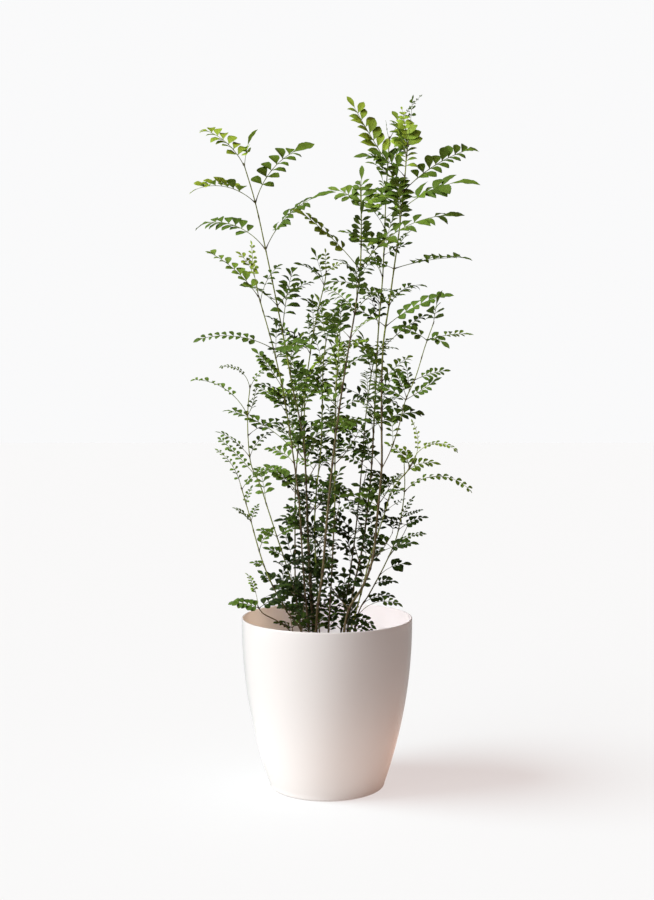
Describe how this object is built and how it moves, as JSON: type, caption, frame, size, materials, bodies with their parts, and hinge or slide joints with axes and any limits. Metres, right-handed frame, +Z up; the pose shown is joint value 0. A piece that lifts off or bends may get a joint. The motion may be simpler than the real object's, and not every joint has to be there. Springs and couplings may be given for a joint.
{
  "type": "potted evergreen ash",
  "caption": "Bushy potted evergreen ash: slender upright canes with opposite, feathery pinnate leaves, rooted in a nursery pot that stands inside a glossy ivory barrel-shaped cover pot.",
  "frame": {"origin": "centre of the cover pot's flat underside, on the surface it stands on", "axes": "+Z up along the pot's axis, +X to the right of a viewer in front, who looks along +Y"},
  "size_m": [0.4907, 0.4042, 1.1533],
  "materials": {
    "ivory_plastic": "gloss",
    "nursery_plastic": "satin",
    "soil": "matte",
    "bark": "matte",
    "green_cane": "satin",
    "leaf_young": "satin",
    "leaf_crown": "satin",
    "leaf_old": "satin"
  },
  "bodies": {
    "root": {"cover_pot": "ivory_plastic", "nursery_pot": "nursery_plastic", "potting_soil": "soil", "stem_back_left": "bark", "stem_back_right": "bark", "stem_centre": "bark", "stem_green_inner": "green_cane", "stem_green_right": "green_cane", "stem_left_low": "bark", "stem_left_outer": "bark", "stem_left_second": "bark", "stem_left_sprawl": "bark", "stem_left_tall": "bark", "stem_right_inner": "green_cane", "stem_right_low": "bark", "stem_right_tall": "bark", "stem_thin_left": "green_cane", "stem_upright": "green_cane", "leaves_back_left_1": "leaf_crown", "leaves_back_left_2": "leaf_old", "leaves_back_right_1": "leaf_crown", "leaves_back_right_2": "leaf_crown", "leaves_centre_1": "leaf_crown", "leaves_centre_2": "leaf_young", "leaves_centre_3": "leaf_young", "leaves_centre_4": "leaf_crown", "leaves_green_inner_1": "leaf_crown", "leaves_green_right_1": "leaf_old", "leaves_green_right_2": "leaf_old", "leaves_left_low_1": "leaf_old", "leaves_left_low_2": "leaf_old", "leaves_left_outer_1": "leaf_crown", "leaves_left_outer_2": "leaf_old", "leaves_left_outer_3": "leaf_young", "leaves_left_outer_4": "leaf_old", "leaves_left_second_1": "leaf_crown", "leaves_left_second_2": "leaf_crown", "leaves_left_second_3": "leaf_old", "leaves_left_second_4": "leaf_crown", "leaves_left_sprawl_1": "leaf_old", "leaves_left_tall_1": "leaf_crown", "leaves_left_tall_2": "leaf_crown", "leaves_left_tall_3": "leaf_crown", "leaves_left_tall_4": "leaf_crown", "leaves_left_tall_5": "leaf_crown", "leaves_right_inner_1": "leaf_crown", "leaves_right_inner_2": "leaf_crown", "leaves_right_inner_3": "leaf_young", "leaves_right_limb_1": "leaf_young", "leaves_right_limb_2": "leaf_young", "leaves_right_low_1": "leaf_old", "leaves_right_low_2": "leaf_old", "leaves_right_tall_1": "leaf_young", "leaves_right_tall_2": "leaf_crown", "leaves_right_tall_3": "leaf_crown", "leaves_right_tall_4": "leaf_crown", "leaves_right_tall_5": "leaf_crown", "leaves_right_tall_6": "leaf_crown", "leaves_thin_left_1": "leaf_young", "leaves_upright_1": "leaf_crown"}
  },
  "joints": []
}
